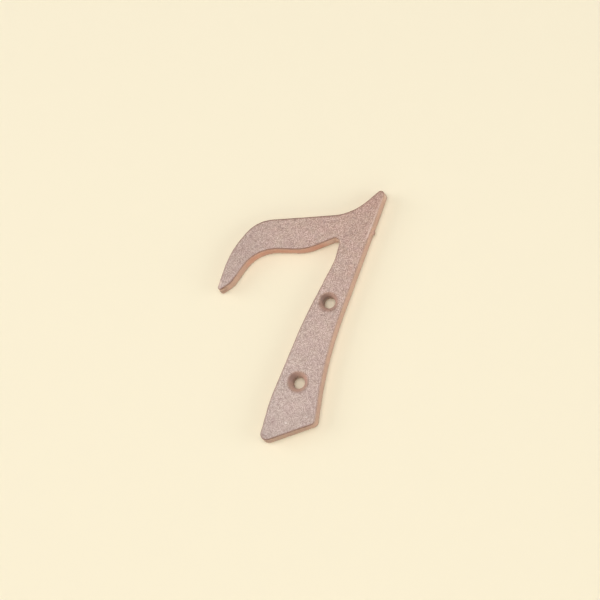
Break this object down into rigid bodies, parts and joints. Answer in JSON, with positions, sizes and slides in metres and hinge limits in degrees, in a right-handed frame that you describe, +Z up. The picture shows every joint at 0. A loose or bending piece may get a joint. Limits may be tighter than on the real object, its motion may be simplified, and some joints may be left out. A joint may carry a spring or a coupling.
{
  "type": "house number",
  "caption": "House number in the form of an italic figure 7, cast in iron with drafted walls, a flat back and countersunk screw holes in its stem.",
  "frame": {"origin": "on the flat back, half way between the two screw holes, with the part upright as it is fixed to a wall", "axes": "+X to the right as read, +Y into the wall, +Z up along the figure's height; the face looks towards -Y"},
  "size_m": [0.0792, 0.0065, 0.1138],
  "materials": {
    "painted_cast_iron": "thin rust-brown paint over the grain of a sand casting"
  },
  "bodies": {
    "root": {"numeral": "painted_cast_iron"}
  },
  "joints": []
}
